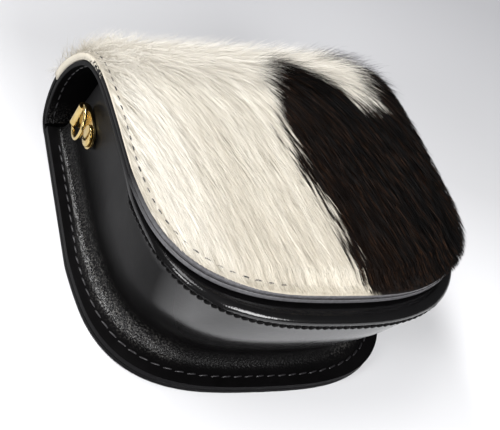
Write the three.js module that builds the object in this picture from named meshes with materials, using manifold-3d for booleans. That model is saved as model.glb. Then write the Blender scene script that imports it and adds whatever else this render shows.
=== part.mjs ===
// Small flap bag of smooth black leather, with a flap faced in hair-on cowhide, lying on its back panel.
// Millimetres: +X is the bag's right, +Y runs towards the fold, +Z comes out of the front.
import * as THREE from "three";
import { mergeVertices } from "three/addons/utils/BufferGeometryUtils.js";
import Module from "manifold-3d";

const wasm = await Module();
wasm.setup();

// Driving dimensions
const leather = 2.4; // thickness of each layer
const seamGap = 0.3; // between layers that are sewn together
const sideStep = 4.8; // about the spacing of points along an outline's straight side
const cornerSteps = 10; // points in each bottom corner

// Outlines are U-shaped: a squared-off half ellipse below, then sides that lean in towards the top.
// half is the half width where the corners end, halfTop the half width at the top.
const backLine = { half: 75, halfTop: 66.5, bottom: 0, top: 138, corner: 63.5, square: 3.04 };
const footLine = { half: 68.3, halfTop: 61.5, bottom: 8.3, top: 137.4, corner: 58.5, square: 2.95 };
const wallLine = { half: 63.3, halfTop: 58, bottom: 13.4, top: 135.6, corner: 57, square: 2.9 };
const creaseLine = { half: 72.6, halfTop: 61.5, bottom: -9.3, top: 127.2, corner: 63, square: 2.75 };

// Gusset: flange on the back panel, fillet, then a wall that flares out to the crease at the front
const flangeTop = 2 * leather + seamGap;
const wallFoot = 13; // height where the fillet ends
const creaseHeight = 67.4; // at the bottom of the bag
const frontLean = 0.124; // fall of the front towards the fold, per millimetre
const frontCrown = 3; // swell of the front halfway up
const filletSteps = 3;
const wallSteps = 4;

// Front panel: a rolled rim above the crease, then the face
const rim = { inset: 3, out: 4.5, height: 70, rise: 3.1, from: -35, to: 90, steps: 4 };
const faceInset = 14;

// Flap: its side view along the outer face of the leather, from the hem over the crest to the back seam
const flapProfile = [
  { place: "hem", y: -2.3, z: 79 },
  { place: "face", y: 58, z: 75.3 },
  { place: "brow", y: 115, z: 70 },
  { place: "shoulder", y: 130.5, z: 63 },
  { place: "slope", y: 141, z: 50 },
  { place: "crest front", y: 147.2, z: 35 },
  { place: "crest", y: 148.7, z: 23 },
  { place: "crest back", y: 147.4, z: 12 },
  { place: "heel", y: 144.8, z: 4.6 },
  { place: "turn", y: 141.8, z: 1.1 },
  { place: "back seam", y: 138.4, z: 0 },
];
const flapHalf = 75.8;
const flapCorner = { height: 62.4, square: 2.79 };
const liningEnd = 3.6; // distance of the lining's back end from the back seam
const crestCut = 32; // distance of the hide's back edge from the back seam

// Hair on the hide: flattened along the edge, deeper inside it and deepest along the crest, with locks
// combed towards the hem
const hair = { edge: 0.9, edgeWidth: 5.5, deep: 3, slope: 5, crest: 4, crestWidth: 42 };
const lock = { length: 30, width: 16, height: 2, margin: 3, row: 19, column: 16.5, sway: 0.13 };

// Ring hardware, drawn for the right side: a folded brass strap with a tube, a rivet and a ring
const clip = { width: 11.6, length: 17.3, metal: 1, tubeRadius: 2.2, boreRadius: 1.35, tubeOut: 3.6 };
const clipPlace = { rise: 0.872, depth: 0.5, standOff: 0.9 };
const rivet = { drop: 11.5, headRadius: 5.1, headEdge: 0.7, headRise: 0.8, shank: 1.4, clear: 0.35, backRadius: 3.2 };
const ring = { wire: 2, bar: 6.1, reach: 8.8, drop: 11.8, hang: 8, steps: 36, sides: 7 };

const blackLeather = new THREE.MeshStandardMaterial({ color: 0x101011, roughness: 0.35, metalness: 0 });
const cowhide = new THREE.MeshStandardMaterial({ color: 0xd9d2c6, roughness: 0.85, metalness: 0 });
const brass = new THREE.MeshStandardMaterial({ color: 0xc79a4b, roughness: 0.25, metalness: 1 });

const lerp = THREE.MathUtils.lerp;
const radians = THREE.MathUtils.degToRad;

// Outlines

function between(lineA, lineB, share) {
  const line = {};
  for (const key of Object.keys(lineA)) line[key] = lerp(lineA[key], lineB[key], share);
  return line;
}

function grown(line, by) {
  return { ...line, half: line.half + by, halfTop: line.halfTop + by, bottom: line.bottom - by };
}

// The line down the middle on which the two halves of a sheet meet
function spineOf(line) {
  return { ...line, half: 0, halfTop: 0, bottom: line.bottom + line.corner / 2, corner: line.corner / 2 };
}

// Shares of the way along an outline, from -1 at the left top over 0 at the bottom to 1 at the right top
function sharesOf(line) {
  const sides = Math.ceil((line.top - line.bottom - line.corner) / sideStep);
  const count = cornerSteps + sides;
  const shares = [];
  for (let i = -count; i <= count; i += 1) shares.push({ side: Math.sign(i), step: Math.abs(i), sides });
  return shares;
}

function linePoint(line, { side, step, sides }) {
  if (step <= cornerSteps) {
    const turn = (step / cornerSteps) * (Math.PI / 2);
    const power = 2 / line.square;
    const rise = 1 - Math.max(Math.cos(turn), 0) ** power;
    return { x: side * line.half * Math.sin(turn) ** power, y: line.bottom + line.corner * rise };
  }
  const share = (step - cornerSteps) / sides;
  const half = lerp(line.half, line.halfTop, share);
  return { x: side * half, y: lerp(line.bottom + line.corner, line.top, share) };
}

// Solids

function mesh(name, geometry, material) {
  const made = new THREE.Mesh(geometry, material);
  made.name = name;
  return made;
}

function toSolid(geometry) {
  const bare = geometry.index ? geometry.toNonIndexed() : geometry.clone();
  bare.deleteAttribute("normal");
  bare.deleteAttribute("uv");
  const merged = mergeVertices(bare, 1e-4);
  const vertProperties = merged.getAttribute("position").array;
  return new wasm.Manifold(new wasm.Mesh({ numProp: 3, vertProperties, triVerts: new Uint32Array(merged.index.array) }));
}

function toGeometry(solid) {
  const made = solid.getMesh();
  const geometry = new THREE.BufferGeometry();
  geometry.setAttribute("position", new THREE.BufferAttribute(new Float32Array(made.vertProperties), 3));
  geometry.setIndex(new THREE.BufferAttribute(new Uint32Array(made.triVerts), 1));
  return geometry;
}

function closedGeometry(corners) {
  let volume = 0;
  for (let i = 0; i < corners.length; i += 3) {
    volume += corners[i].dot(new THREE.Vector3().crossVectors(corners[i + 1], corners[i + 2]));
  }
  const facingOut = volume > 0 ? corners : [...corners].reverse();
  return new THREE.BufferGeometry().setFromPoints(facingOut);
}

// A closed sheet between an outer and an inner grid of points. Rows run along the outline.
// A folded sheet's last row lies on its middle line, so it needs no wall there.
function sheetBetween(outer, inner, folded) {
  const corners = [];
  const quad = (a, b, c, d) => corners.push(a, b, c, a, c, d);
  const lastRow = outer.length - 1;
  const lastPoint = outer[0].length - 1;
  for (let row = 0; row < lastRow; row += 1) {
    for (let i = 0; i < lastPoint; i += 1) {
      quad(outer[row][i], outer[row][i + 1], outer[row + 1][i + 1], outer[row + 1][i]);
      quad(inner[row][i], inner[row + 1][i], inner[row + 1][i + 1], inner[row][i + 1]);
    }
    quad(outer[row][0], outer[row + 1][0], inner[row + 1][0], inner[row][0]);
    quad(outer[row][lastPoint], inner[row][lastPoint], inner[row + 1][lastPoint], outer[row + 1][lastPoint]);
  }
  for (let i = 0; i < lastPoint; i += 1) {
    quad(outer[0][i], inner[0][i], inner[0][i + 1], outer[0][i + 1]);
    if (!folded) quad(outer[lastRow][i], outer[lastRow][i + 1], inner[lastRow][i + 1], inner[lastRow][i]);
  }
  return closedGeometry(corners);
}

// The grid moved along its own normals into the bag by a distance
function offsetGrid(grid, distance) {
  const at = (row, i) => grid[Math.min(Math.max(row, 0), grid.length - 1)][Math.min(Math.max(i, 0), grid[0].length - 1)];
  return grid.map((points, row) =>
    points.map((point, i) => {
      const along = new THREE.Vector3().subVectors(at(row, i + 1), at(row, i - 1));
      const across = new THREE.Vector3().subVectors(at(row + 1, i), at(row - 1, i));
      const moved = point.clone().addScaledVector(across.cross(along).normalize(), distance);
      return point.x === 0 ? moved.setX(0) : moved;
    }),
  );
}

// Body of the bag

// One row of a piece that follows an outline, at a height that may lean and swell with the front
function bodyRow(line, height, frontShare, shares) {
  return shares.map((share) => {
    const { x, y } = linePoint(line, share);
    const rise = (y - line.bottom) / (line.top - line.bottom);
    const front = frontCrown * Math.sin(Math.PI * rise) - frontLean * (y - creaseLine.bottom);
    return new THREE.Vector3(x, y, height + frontShare * front);
  });
}

const bodyShares = sharesOf({ ...creaseLine, top: creaseLine.bottom + creaseLine.corner + 40 });

function wallRow(share) {
  return bodyRow(between(wallLine, creaseLine, share), lerp(wallFoot, creaseHeight, share), share, bodyShares);
}

function gussetGeometry() {
  const rows = [bodyRow(backLine, flangeTop, 0, bodyShares)];
  for (let i = 0; i < filletSteps; i += 1) {
    const turn = (i / filletSteps) * (Math.PI / 2);
    const height = wallFoot - (wallFoot - flangeTop) * Math.cos(turn);
    rows.push(bodyRow(between(footLine, wallLine, Math.sin(turn)), height, 0, bodyShares));
  }
  for (let i = 0; i <= wallSteps; i += 1) rows.push(wallRow(i / wallSteps));
  return sheetBetween(rows, offsetGrid(rows, leather), false);
}

function frontPanelGeometry() {
  const rows = [];
  for (let i = 0; i <= rim.steps; i += 1) {
    const turn = radians(lerp(rim.from, rim.to, i / rim.steps));
    const line = grown(creaseLine, rim.out * Math.cos(turn) - rim.inset);
    rows.push(bodyRow(line, rim.height + rim.rise * Math.sin(turn), 1, bodyShares));
  }
  const rimTop = rim.height + rim.rise;
  rows.push(bodyRow(grown(creaseLine, -faceInset), rimTop, 1, bodyShares));
  rows.push(bodyRow(spineOf(creaseLine), rimTop, 1, bodyShares));
  return sheetBetween(rows, offsetGrid(rows, leather), true);
}

// Flap and back panel, which share one side view

const fold = new THREE.CatmullRomCurve3(flapProfile.map(({ y, z }) => new THREE.Vector3(0, y, z)));
const foldLength = fold.getLength();
const backSeam = flapProfile[flapProfile.length - 1];

// A point at a distance from the hem along the side view, moved out of the leather's outer face by a lift
function wrapped(x, distance, lift) {
  if (distance > foldLength) return new THREE.Vector3(x, backSeam.y - (distance - foldLength), backSeam.z - lift);
  const share = Math.max(distance, 0) / foldLength;
  const point = fold.getPointAt(share);
  const tangent = fold.getTangentAt(share);
  return new THREE.Vector3(x, point.y - tangent.z * lift, point.z + tangent.y * lift);
}

// Half width of the flap's straight sides at a distance from the hem
function flapHalfAt(distance) {
  return lerp(flapHalf, backLine.halfTop, (distance - flapCorner.height) / (foldLength - flapCorner.height));
}

// The flap's outline laid flat, from the hem to a distance from the back seam
function flapLine(fromSeam) {
  const { height, square } = flapCorner;
  const top = foldLength - fromSeam;
  return { half: flapHalf, halfTop: flapHalfAt(top), bottom: 0, top, corner: height, square };
}

function flapRow(line, lift, shares) {
  return shares.map((share) => {
    const { x, y } = linePoint(line, share);
    return wrapped(x, y, lift);
  });
}

function liningGeometry() {
  const line = flapLine(liningEnd);
  const shares = sharesOf(line);
  const lines = [line, between(line, spineOf(line), 0.5), spineOf(line)];
  const outerLift = -leather - seamGap;
  const outer = lines.map((each) => flapRow(each, outerLift, shares));
  const inner = lines.map((each) => flapRow(each, outerLift - leather, shares));
  return sheetBetween(outer, inner, true);
}

// The back panel narrows up to the back seam, then follows the flap's sides to the hide's back edge
function backPanelGeometry() {
  const length = foldLength + backSeam.y;
  const line = { ...backLine, top: backSeam.y + crestCut - seamGap };
  const foot = line.bottom + line.corner;
  const shares = sharesOf(line);
  const sideHalf = (y) => {
    if (y > backSeam.y) return flapHalfAt(length - y);
    return lerp(line.half, line.halfTop, (y - foot) / (backSeam.y - foot));
  };
  const rowAt = (each, lift) =>
    shares.map((share) => {
      const { x, y } = linePoint(each, share);
      const onSide = share.step > cornerSteps;
      return wrapped(onSide ? (share.side * sideHalf(y) * each.half) / line.half : x, length - y, lift);
    });
  const lines = [line, between(line, spineOf(line), 0.5), spineOf(line)];
  return sheetBetween(
    lines.map((each) => rowAt(each, 0)),
    lines.map((each) => rowAt(each, -leather)),
    true,
  );
}

const hideLine = flapLine(crestCut);

// Depth of the pile at a distance from the hem, as a share of the full depth at the place
function pileLift(distance, share) {
  const nearCrest = Math.max(0, 1 - (hideLine.top - distance) / hair.crestWidth);
  const deep = hair.deep + hair.crest * Math.sin((nearCrest * Math.PI) / 2);
  return lerp(hair.edge, deep, share);
}

// A flat lock of hair with pointed ends, its sections laid over the flap's curve
function lockGeometry(x, distance, size, sway) {
  const sections = [
    { along: 0.3, width: 0.42, high: 0.9, low: -2.5 },
    { along: 0.72, width: 0.36, high: 1, low: -2.5 },
  ];
  const at = (along, across, lift) => {
    const down = along * lock.length * size;
    const pile = pileLift(distance - down, 1);
    return wrapped(x + sway * down + across * lock.width * size, distance - down, pile + lift);
  };
  const rings = sections.map(({ along, width, high, low }) => [
    at(along, -width, 0),
    at(along, 0, lock.height * high),
    at(along, width, 0),
    at(along, 0, low),
  ]);
  const root = at(0, 0, -lock.height / 2);
  const tip = at(1, 0, lock.height * 0.2);
  const corners = [];
  for (let i = 0; i < 4; i += 1) {
    const next = (i + 1) % 4;
    corners.push(root, rings[0][next], rings[0][i]);
    corners.push(rings[0][i], rings[0][next], rings[1][next], rings[0][i], rings[1][next], rings[1][i]);
    corners.push(tip, rings[1][i], rings[1][next]);
  }
  return closedGeometry(corners);
}

// A repeatable number from -1 to 1 for the lock in a row and column
function uneven(row, column) {
  const value = Math.sin(row * 127.1 + column * 311.7) * 43758.5;
  return 2 * (value - Math.floor(value)) - 1;
}

function hideGeometry() {
  const line = hideLine;
  const shares = sharesOf(line);
  const inside = hair.edgeWidth + hair.slope;
  const lines = [line, grown(line, -hair.edgeWidth), grown(line, -inside), spineOf(line)];
  const depths = [0, 0, 1, 1];
  const outer = lines.map((each, i) =>
    shares.map((share) => {
      const { x, y } = linePoint(each, share);
      return wrapped(x, y, pileLift(y, depths[i]));
    }),
  );
  const inner = lines.map((each) => flapRow(each, -leather, shares));
  let hide = toSolid(sheetBetween(outer, inner, true));
  const rows = Math.floor((line.top - lock.length - inside) / lock.row);
  for (let row = 0; row <= rows; row += 1) {
    const distance = line.top - 1 - row * lock.row;
    const low = Math.max(distance - lock.length, 0);
    const roundness = low < line.corner ? (1 - (1 - low / line.corner) ** line.square) ** (1 / line.square) : 1;
    const reach = line.half * roundness - inside - lock.width / 2 - lock.margin;
    const columns = Math.floor((2 * reach) / lock.column);
    for (let column = 0; column <= columns; column += 1) {
      const stagger = ((row % 2) - 0.5) * lock.column * 0.45;
      const x = (column - columns / 2) * lock.column + stagger + uneven(row, column) * 1.5;
      const size = 1 + 0.12 * uneven(column, row + 7);
      const sway = lock.sway * (0.6 + 0.7 * uneven(row + 3, column));
      hide = hide.add(toSolid(lockGeometry(x, distance + 2 * uneven(row, column + 5), size, sway)));
    }
  }
  return toGeometry(hide);
}

// Ring hardware

// The strap seen along the tube, whose axis is the origin: x out of the wall, y up it
function strapShape() {
  const { metal, tubeRadius, tubeOut, length } = clip;
  const shape = new THREE.Shape();
  shape.moveTo(-tubeOut, -length);
  shape.lineTo(-tubeOut, -metal);
  shape.quadraticCurveTo(-tubeOut, tubeRadius, 0, tubeRadius);
  shape.absarc(0, 0, tubeRadius, Math.PI / 2, -Math.PI / 2, true);
  shape.lineTo(metal - tubeOut, -tubeRadius);
  shape.lineTo(metal - tubeOut, -length);
  shape.holes.push(new THREE.Path().absarc(0, 0, clip.boreRadius, 0, 2 * Math.PI));
  return shape;
}

// The strap seen from outside: straight at the tube, round at its lower end
function tongueShape() {
  const half = clip.width / 2;
  const shape = new THREE.Shape();
  shape.moveTo(half, clip.tubeRadius + 1);
  shape.lineTo(-half, clip.tubeRadius + 1);
  shape.lineTo(-half, half - clip.length);
  shape.absarc(0, half - clip.length, half, Math.PI, 2 * Math.PI);
  return shape;
}

function rivetHole() {
  const hole = new THREE.CylinderGeometry(rivet.shank + rivet.clear, rivet.shank + rivet.clear, 24, 12);
  return hole.rotateZ(Math.PI / 2).translate(0, -rivet.drop, 0);
}

function clipGeometry() {
  const strap = new THREE.ExtrudeGeometry(strapShape(), { depth: clip.width, bevelEnabled: false, curveSegments: 10 });
  strap.translate(0, 0, -clip.width / 2);
  const tongue = new THREE.ExtrudeGeometry(tongueShape(), { depth: 20, bevelEnabled: false, curveSegments: 8 });
  tongue.translate(0, 0, -10).rotateY(Math.PI / 2);
  return toGeometry(toSolid(strap).intersect(toSolid(tongue)).subtract(toSolid(rivetHole())));
}

function rivetGeometry() {
  const { headRadius, headEdge, headRise, shank, backRadius, drop } = rivet;
  const seat = clip.metal - clip.tubeOut + seamGap;
  const wallBack = -clip.tubeOut - clipPlace.standOff - leather - 2 * seamGap;
  const profile = [
    new THREE.Vector2(0, wallBack - 1),
    new THREE.Vector2(backRadius, wallBack - 1),
    new THREE.Vector2(backRadius, wallBack),
    new THREE.Vector2(shank, wallBack),
    new THREE.Vector2(shank, seat),
    new THREE.Vector2(headRadius, seat),
  ];
  for (let turn = 0; turn <= 60; turn += 30) {
    const out = headRadius * Math.cos(radians(turn));
    profile.push(new THREE.Vector2(out, seat + headEdge + headRise * Math.sin(radians(turn))));
  }
  profile.push(new THREE.Vector2(0, seat + headEdge + headRise));
  return new THREE.LatheGeometry(profile, 16).rotateZ(-Math.PI / 2).translate(0, -drop, 0);
}

// A D with its bar in the tube, hanging a little out from the strap
function ringGeometry() {
  const { wire, bar, reach, drop, hang, steps, sides } = ring;
  const at = (along, down) => new THREE.Vector3(0, -down, along);
  const path = new THREE.CurvePath();
  path.add(new THREE.LineCurve3(at(-bar, 0), at(bar, 0)));
  path.add(new THREE.CubicBezierCurve3(at(bar, 0), at(reach, 0), at(reach, drop), at(0, drop)));
  path.add(new THREE.CubicBezierCurve3(at(0, drop), at(-reach, drop), at(-reach, 0), at(-bar, 0)));
  return new THREE.TubeGeometry(path, steps, wire / 2, sides, true).rotateZ(radians(hang));
}

// A group on the gusset's wall: x out of the wall, y up it, and the tube's axis upright on the origin
function hardwareFrame(side) {
  const { rise, depth, standOff } = clipPlace;
  const line = between(wallLine, creaseLine, depth);
  const place = { side: 1, step: cornerSteps + rise, sides: 1 };
  const [wall] = bodyRow(line, lerp(wallFoot, creaseHeight, depth), depth, [place]);
  const lean = Math.atan2(line.half - line.halfTop, line.top - line.bottom - line.corner);
  const out = clip.tubeOut + standOff;
  const onWall = new THREE.Group();
  onWall.rotation.z = lean;
  onWall.position.set(wall.x + out * Math.cos(lean), wall.y + out * Math.sin(lean), 0);
  const turned = new THREE.Group();
  turned.add(onWall);
  turned.rotation.y = side === "left" ? Math.PI : 0;
  turned.position.z = wall.z;
  turned.updateMatrixWorld(true);
  return { turned, onWall };
}

const bag = new THREE.Group();
bag.add(mesh("back_panel", backPanelGeometry(), blackLeather));
bag.add(mesh("front_panel", frontPanelGeometry(), blackLeather));
bag.add(mesh("flap_lining", liningGeometry(), blackLeather));
bag.add(mesh("flap_hide", hideGeometry(), cowhide));

let gusset = toSolid(gussetGeometry());
for (const side of ["left", "right"]) {
  const { turned, onWall } = hardwareFrame(side);
  gusset = gusset.subtract(toSolid(rivetHole().applyMatrix4(onWall.matrixWorld)));
  onWall.add(mesh(`${side}_clip`, clipGeometry(), brass));
  onWall.add(mesh(`${side}_rivet`, rivetGeometry(), brass));
  onWall.add(mesh(`${side}_ring`, ringGeometry(), brass));
  bag.add(turned);
}
bag.add(mesh("gusset", toGeometry(gusset), blackLeather));

// The origin lies under the middle of the whole bag
const box = new THREE.Box3().setFromObject(bag);
const centre = box.getCenter(new THREE.Vector3());
bag.position.set(-centre.x, -centre.y, -box.min.z);

const part = new THREE.Group();
part.add(bag);

export default part;
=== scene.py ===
import math

import bpy
import numpy as np
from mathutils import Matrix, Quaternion, Vector
from mathutils.kdtree import KDTree


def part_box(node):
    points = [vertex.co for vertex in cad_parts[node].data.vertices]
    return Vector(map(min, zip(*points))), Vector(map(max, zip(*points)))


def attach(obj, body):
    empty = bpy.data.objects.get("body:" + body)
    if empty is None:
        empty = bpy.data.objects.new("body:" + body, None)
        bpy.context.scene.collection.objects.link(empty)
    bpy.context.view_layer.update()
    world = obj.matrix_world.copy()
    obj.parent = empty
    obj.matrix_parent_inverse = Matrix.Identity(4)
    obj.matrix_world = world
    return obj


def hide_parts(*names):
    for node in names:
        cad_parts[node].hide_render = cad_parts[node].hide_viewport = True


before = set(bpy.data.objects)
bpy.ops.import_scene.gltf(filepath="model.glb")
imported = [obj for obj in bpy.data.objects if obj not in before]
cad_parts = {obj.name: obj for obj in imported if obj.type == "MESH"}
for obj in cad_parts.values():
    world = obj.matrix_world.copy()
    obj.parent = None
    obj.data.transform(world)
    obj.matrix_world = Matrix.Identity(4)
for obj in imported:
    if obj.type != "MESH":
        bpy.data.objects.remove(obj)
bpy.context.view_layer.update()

mm = 0.001
dice = np.random.default_rng(11)
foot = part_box("back_panel")[0].y / mm  # outlines are drawn from the back panel's bottom edge


# Helpers

def linear(hexColour):
    parts = [int(hexColour[i:i + 2], 16) / 255 for i in (1, 3, 5)]
    return [p / 12.92 if p <= 0.04045 else ((p + 0.055) / 1.055) ** 2.4 for p in parts] + [1.0]


def addNode(material, kind, settings=None, links=None):
    node = material.node_tree.nodes.new(kind)
    for name, value in (settings or {}).items():
        if name == "stops":  # places and colours of a ramp, its two ends first
            stops = node.color_ramp.elements
            for number, (position, colour) in enumerate(value):
                stop = stops[number] if number < 2 else stops.new(position)
                stop.position, stop.color = position, colour
        elif isinstance(name, int) or name in node.inputs:
            node.inputs[name].default_value = value
        else:
            setattr(node, name, value)
    for name, source in (links or {}).items():
        material.node_tree.links.new(source, node.inputs[name])
    return node


def newMaterial(name):
    material = bpy.data.materials.new(name)
    material.use_nodes = True
    material.node_tree.nodes.clear()
    return material


def finishMaterial(material, settings, links):
    shader = addNode(material, "ShaderNodeBsdfPrincipled", settings, links)
    addNode(material, "ShaderNodeOutputMaterial", None, {"Surface": shader.outputs["BSDF"]})
    return material


def activate(piece):
    if bpy.context.object and bpy.context.object.mode != "OBJECT":
        bpy.ops.object.mode_set(mode="OBJECT")
    bpy.ops.object.select_all(action="DESELECT")
    piece.select_set(True)
    bpy.context.view_layer.objects.active = piece


def modify(piece, kind, **settings):
    activate(piece)
    bpy.ops.object.modifier_add(type=kind)
    modifier = piece.modifiers[-1]
    for name, value in settings.items():
        setattr(modifier, name, value)
    bpy.ops.object.modifier_apply(modifier=modifier.name)


def roundOff(piece, size):
    modify(piece, "BEVEL", width=size["bevel"] * mm, segments=size["segments"], limit_method="ANGLE",
           angle_limit=math.radians(size["sharp"]))


def subdivide(piece, levels):
    modify(piece, "SUBSURF", levels=levels)
    activate(piece)
    bpy.ops.object.shade_smooth()


# A copy of a CAD node's mesh with its corners merged and its triangles paired
joining = {"merge": 0.02, "faceAngle": 80, "shapeAngle": 120}  # mm and degrees


def copyNode(node, name):
    piece = bpy.data.objects.new(name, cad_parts[node].data.copy())
    bpy.context.collection.objects.link(piece)
    piece.data.materials.clear()
    activate(piece)
    bpy.ops.object.mode_set(mode="EDIT")
    bpy.ops.mesh.select_all(action="SELECT")
    bpy.ops.mesh.customdata_custom_splitnormals_clear()
    bpy.ops.mesh.remove_doubles(threshold=joining["merge"] * mm)
    bpy.ops.mesh.tris_convert_to_quads(face_threshold=math.radians(joining["faceAngle"]),
                                       shape_threshold=math.radians(joining["shapeAngle"]))
    bpy.ops.mesh.normals_make_consistent(inside=False)
    bpy.ops.object.mode_set(mode="OBJECT")
    return piece


def place(piece, body, slot, *nodes):
    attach(piece, body)
    if nodes:
        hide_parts(*nodes)


def meshFrom(name, points, faces, material):
    mesh = bpy.data.meshes.new(name)
    corners = faces.shape[1]
    mesh.vertices.add(len(points))
    mesh.vertices.foreach_set("co", (points * mm).astype(np.float32).ravel())
    mesh.loops.add(faces.size)
    mesh.loops.foreach_set("vertex_index", faces.astype(np.int32).ravel())
    mesh.polygons.add(len(faces))
    mesh.polygons.foreach_set("loop_start", np.arange(0, faces.size, corners, dtype=np.int32))
    mesh.update(calc_edges=True)
    mesh.shade_smooth()
    mesh.materials.append(material)
    piece = bpy.data.objects.new(name, mesh)
    bpy.context.collection.objects.link(piece)
    return piece


# Outlines of the bag, in millimetres from the back panel's bottom edge

backLine = {"half": 75, "halfTop": 66.5, "bottom": 0, "top": 138, "corner": 63.5, "square": 3.04}
footLine = {"half": 68.3, "halfTop": 61.5, "bottom": 8.3, "top": 137.4, "corner": 58.5, "square": 2.95}
creaseLine = {"half": 72.6, "halfTop": 61.5, "bottom": -9.3, "top": 127.2, "corner": 63, "square": 2.75}
flangeTop = 5.1
flapSide = [  # side view of the flap's leather: y and z from the hem over the crest to the back seam
    (-2.3, 79), (58, 75.3), (115, 70), (130.5, 63), (141, 50), (147.2, 35), (148.7, 23), (147.4, 12),
    (144.8, 4.6), (141.8, 1.1), (138.4, 0),
]
flap = {"half": 75.8, "halfSeam": 66.5, "corner": 62.4, "square": 2.79, "hideEnd": 32, "liningEnd": 3.6}
pile = {"edge": 0.9, "edgeWidth": 5.5, "deep": 3, "slope": 5, "crest": 4, "crestWidth": 42, "backLift": 2.2,
        "backTaper": 16}


def between(lineA, lineB, share):
    return {key: lineA[key] + (lineB[key] - lineA[key]) * share for key in lineA}


def inset(line, by):
    return {**line, "half": line["half"] - by, "halfTop": line["halfTop"] - by, "bottom": line["bottom"] + by}


# Points of a U-shaped outline, from the left top round the bottom to the right top
def outline(line, count=400):
    turn = np.linspace(0, math.pi / 2, count)
    power = 2 / line["square"]
    x = line["half"] * np.sin(turn) ** power
    y = line["bottom"] + line["corner"] * (1 - np.clip(np.cos(turn), 0, 1) ** power)
    sideX = np.linspace(line["half"], line["halfTop"], count)[1:]
    sideY = np.linspace(line["bottom"] + line["corner"], line["top"], count)[1:]
    right = np.column_stack((np.append(x, sideX), np.append(y, sideY)))
    left = right[:0:-1] * (-1, 1)
    return np.vstack((left, right))


# Share of the way of values from start to end
def ramp(value, start, end):
    return np.clip((value - start) / (end - start), 0, 1)


# Points at an even spacing along a path, with their directions
def spaced(path, pitch):
    near = 0.5  # mm to each side, for the direction
    steps = np.linalg.norm(np.diff(path, axis=0), axis=1)
    along = np.append(0, np.cumsum(steps))
    stops = np.arange(pitch / 2, along[-1], pitch)
    points = np.column_stack([np.interp(stops, along, path[:, i]) for i in range(path.shape[1])])
    ahead = np.column_stack([np.interp(stops + near, along, path[:, i]) for i in range(path.shape[1])])
    behind = np.column_stack([np.interp(stops - near, along, path[:, i]) for i in range(path.shape[1])])
    heading = ahead - behind
    return points, heading / np.linalg.norm(heading, axis=1, keepdims=True)


# The smooth curve through the side view's points
def sideCurve(points, steps=40):
    points = np.array(points, float)
    points = np.vstack((2 * points[0] - points[1], points, 2 * points[-1] - points[-2]))
    share = np.linspace(0, 1, steps, endpoint=False)[:, None]
    curve = []
    for a, b, c, d in zip(points, points[1:], points[2:], points[3:]):
        stepA, stepB, stepC = [math.sqrt(np.linalg.norm(q - p)) for p, q in ((a, b), (b, c), (c, d))]
        slopeB = stepB * ((b - a) / stepA - (c - a) / (stepA + stepB) + (c - b) / stepB)
        slopeC = stepB * ((c - b) / stepB - (d - b) / (stepB + stepC) + (d - c) / stepC)
        curve.append(b + slopeB * share + (3 * (c - b) - 2 * slopeB - slopeC) * share ** 2
                     + (2 * (b - c) + slopeB + slopeC) * share ** 3)
    return np.vstack((*curve, points[-2]))


foldPath = sideCurve(flapSide)
foldAlong = np.append(0, np.cumsum(np.linalg.norm(np.diff(foldPath, axis=0), axis=1)))
foldLength = foldAlong[-1]
foldHeading = np.gradient(foldPath, foldAlong, axis=0)
foldHeading /= np.linalg.norm(foldHeading, axis=1, keepdims=True)


# Row-frame points of the flap at a distance from the hem, with the leather's normals
def wrapped(x, distance, lift):
    y, z = [np.interp(distance, foldAlong, foldPath[:, i]) for i in (0, 1)]
    y = y + np.minimum(distance, 0)  # past the hem
    headY, headZ = [np.interp(distance, foldAlong, foldHeading[:, i]) for i in (0, 1)]
    points = np.column_stack((x, y - headZ * lift + foot, z + headY * lift))
    return points, np.column_stack((np.zeros_like(y), -headZ, headY))


def flapLine(fromSeam):
    top = foldLength - fromSeam
    share = (top - flap["corner"]) / (foldLength - flap["corner"])
    halfTop = flap["half"] + (flap["halfSeam"] - flap["half"]) * share
    return {"half": flap["half"], "halfTop": halfTop, "bottom": 0, "top": top, "corner": flap["corner"],
            "square": flap["square"]}


hideLine = flapLine(flap["hideEnd"])


# Camera, floor and light

camera = {"place": (-398.78, -402.09, 580.58), "aim": (-5.79, -10.58, 45), "roll": 36.08, "lens": 129.76,
          "nearest": 10}  # mm and degrees
bpy.ops.object.camera_add(location=[c * mm for c in camera["place"]])
eye = bpy.context.object
eye.name = "photoCamera"
gaze = Vector(camera["aim"]) - Vector(camera["place"])
eye.rotation_mode = "QUATERNION"
eye.rotation_quaternion = gaze.to_track_quat("-Z", "Y") @ Quaternion((0, 0, 1), math.radians(camera["roll"]))
eye.data.lens = camera["lens"]
eye.data.clip_start = camera["nearest"] * mm
bpy.context.scene.camera = eye

# Studio paper: matt white in front, with painted shade darkening it to a light grey towards the back right,
# as the light falls off. Its size is in metres, the rest in mm.
paintedFalloffBackdrop = {"size": 8, "under": 0.3, "towards": (0.35, 0.94, 0), "falls": (-20, 240), "middle": 0.45,
            "tones": ("#e0e0e2", "#a2a2a5", "#b8b8ba")}  # in front, at the back and in the middle
paper = newMaterial("studioPaperPaintedFalloff")
where = addNode(paper, "ShaderNodeTexCoord").outputs["Object"]
back = addNode(paper, "ShaderNodeVectorMath", {"operation": "DOT_PRODUCT", 1: paintedFalloffBackdrop["towards"]}, {0: where})
share = addNode(paper, "ShaderNodeMapRange",
                {"From Min": paintedFalloffBackdrop["falls"][0] * mm, "From Max": paintedFalloffBackdrop["falls"][1] * mm},
                {"Value": back.outputs["Value"]})
# Painted shade: the paper's tone darkens along the ramp towards the back right
stops = list(zip((0, 1, paintedFalloffBackdrop["middle"]), map(linear, paintedFalloffBackdrop["tones"])))
tone = addNode(paper, "ShaderNodeValToRGB", {"stops": stops}, {"Fac": share.outputs["Result"]})
finishMaterial(paper, {"Roughness": 0.7, "Specular IOR Level": 0.2}, {"Base Color": tone.outputs["Color"]})
bpy.ops.mesh.primitive_plane_add(size=paintedFalloffBackdrop["size"], location=(0, 0, -paintedFalloffBackdrop["under"] * mm))
floor = bpy.context.object
floor.name = "studioFloor"
bpy.ops.object.transform_apply(location=True)
floor.data.materials.append(paper)

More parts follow.
